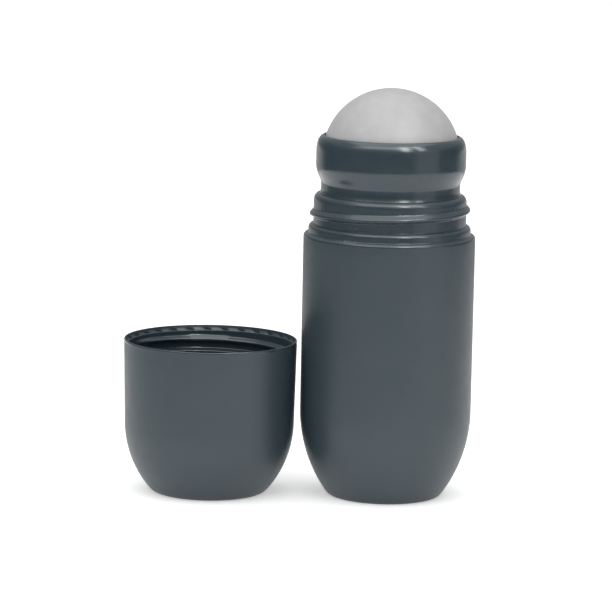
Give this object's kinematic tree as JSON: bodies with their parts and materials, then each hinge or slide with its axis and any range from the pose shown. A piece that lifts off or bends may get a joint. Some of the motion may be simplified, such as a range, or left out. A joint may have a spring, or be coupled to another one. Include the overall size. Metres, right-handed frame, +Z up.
{
  "type": "roll-on antiperspirant",
  "caption": "Roll-on antiperspirant: drawn-in bottle with a threaded neck, snap-in housing that holds a rolling ball, and a screw cap standing upside down beside it.",
  "frame": {"origin": "on the floor, under the middle of the box around the bottle and the cap beside it", "axes": "+Z up along the bottle's and the cap's axes, +X from the cap towards the bottle, -Y towards the viewer"},
  "size_m": [0.0902, 0.0448, 0.106],
  "materials": {
    "bottle_plastic": "fine matte texture on the body, glossy on the neck and thread",
    "housing_plastic": "glossy moulded plastic",
    "ball_plastic": "ground and slightly cloudy plastic",
    "cap_plastic": "fine matte texture outside, glossy inside",
    "liquid": "milky liquid"
  },
  "bodies": {
    "bottle": {"bottle": "bottle_plastic", "ball_housing": "housing_plastic", "antiperspirant_liquid": "liquid"},
    "ball": {"ball_upper_shell": "ball_plastic", "ball_lower_shell": "ball_plastic"},
    "cap": {"screw_cap": "cap_plastic"}
  },
  "joints": [
    {"name": "ball_roll", "type": "hinge", "parent": "bottle", "child": "ball", "pos_m": [0.02295, 0, 0.0882], "axis": [1, 0, 0], "continuous": true},
    {"name": "cap_lift", "type": "slide", "parent": "bottle", "child": "cap", "axis": [0, 0, 1], "range_m": [0, 0.115]}
  ]
}
